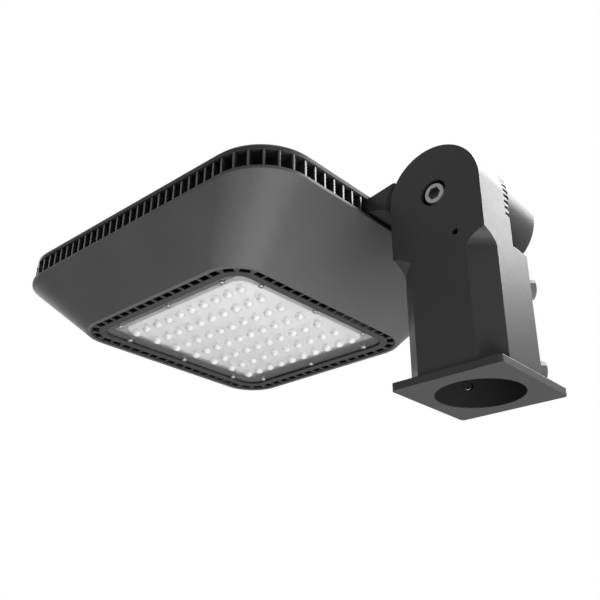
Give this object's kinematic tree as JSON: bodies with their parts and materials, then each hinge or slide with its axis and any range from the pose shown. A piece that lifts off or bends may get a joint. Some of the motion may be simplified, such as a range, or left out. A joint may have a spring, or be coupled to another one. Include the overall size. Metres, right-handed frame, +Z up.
{
  "type": "post top light",
  "caption": "Area light with a tapered square head, vented rims and a domed lens on a toothed tilting arm, with a clamp socket that slips over a round pole top.",
  "frame": {"origin": "centre of the round pole socket at the underside of its square flange", "axes": "+Z up, out of the pole's top; the head reaches towards -X; the tilt pivot runs along Y, with the pivot screw's head towards -Y and the clamp bolts towards +Y"},
  "size_m": [0.4372, 0.289, 0.18],
  "materials": {
    "powder_coat": "cast aluminium under a matt dark grey powder coat",
    "cast_coat": "cast aluminium with a fine grain under a matt dark grey powder coat",
    "bare_aluminium": "bare cast aluminium",
    "driver_metal": "satin aluminium case",
    "zinc_steel": "zinc plated steel",
    "clear_lens": "clear moulded polycarbonate",
    "board_white": "white solder mask",
    "led_yellow": "phosphor coat",
    "black_rubber": "matt silicone rubber",
    "terminal_plastic": "plain moulded"
  },
  "bodies": {
    "fitter": {"fitter_body": "cast_coat", "pivot_bolt": "zinc_steel", "pivot_washer": "zinc_steel", "pivot_nut": "zinc_steel", "lock_screw": "zinc_steel"},
    "head": {"arm": "cast_coat", "arm_bolts": "zinc_steel", "wire_grommet": "black_rubber", "skirt": "powder_coat", "bezel": "powder_coat", "vent_band": "powder_coat", "top_cover": "powder_coat", "cover_screws": "zinc_steel", "cover_posts": "bare_aluminium", "lens_plate": "clear_lens", "lens_gasket": "black_rubber", "lens_screws": "zinc_steel", "led_board": "board_white", "led_packages": "led_yellow", "heat_sink": "bare_aluminium", "driver_case": "driver_metal", "driver_screws": "zinc_steel", "terminal_block": "terminal_plastic"},
    "clamp_bolt_1": {"clamp_bolt_1": "zinc_steel"},
    "clamp_bolt_2": {"clamp_bolt_2": "zinc_steel"},
    "clamp_bolt_3": {"clamp_bolt_3": "zinc_steel"},
    "clamp_bolt_4": {"clamp_bolt_4": "zinc_steel"}
  },
  "joints": [
    {"name": "knuckle_tilt", "type": "hinge", "parent": "fitter", "child": "head", "pos_m": [0.002, -0.005, 0.14], "axis": [0, 1, 0], "range_deg": [-45, 90]},
    {"name": "clamp_bolt_1_travel", "type": "slide", "parent": "fitter", "child": "clamp_bolt_1", "axis": [-0.7071, -0.7071, 0], "range_m": [-0.003, 0.003]},
    {"name": "clamp_bolt_2_travel", "type": "slide", "parent": "fitter", "child": "clamp_bolt_2", "axis": [0.7071, -0.7071, 0], "range_m": [-0.003, 0.003]},
    {"name": "clamp_bolt_3_travel", "type": "slide", "parent": "fitter", "child": "clamp_bolt_3", "axis": [-0.7071, -0.7071, 0], "range_m": [-0.003, 0.003]},
    {"name": "clamp_bolt_4_travel", "type": "slide", "parent": "fitter", "child": "clamp_bolt_4", "axis": [0.7071, -0.7071, 0], "range_m": [-0.003, 0.003]}
  ]
}
